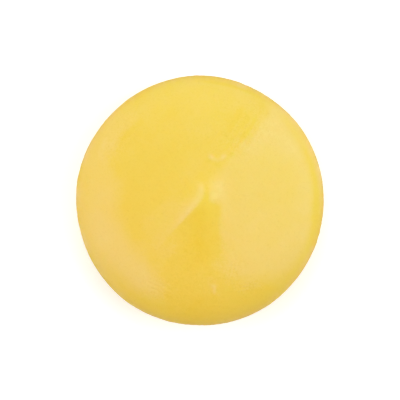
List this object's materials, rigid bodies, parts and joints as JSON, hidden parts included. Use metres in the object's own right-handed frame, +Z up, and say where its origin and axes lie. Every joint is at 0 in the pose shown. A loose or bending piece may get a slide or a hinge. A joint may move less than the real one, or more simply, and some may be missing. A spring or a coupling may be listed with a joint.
{
  "type": "clay bar",
  "caption": "Round puck of yellow detailing clay, flat underneath, with a rounded side and a low crown gathered to an off-centre pinch.",
  "frame": {"origin": "centre of the flat base, on the surface that the puck rests on", "axes": "+Z up through the puck's thickness. Seen from above with +Y up the view and +X to the right, the pinch lies up and to the right of the centre."},
  "size_m": [0.07, 0.07, 0.0201],
  "materials": {
    "clay": "satin"
  },
  "bodies": {
    "root": {"clay_puck": "clay"}
  },
  "joints": []
}
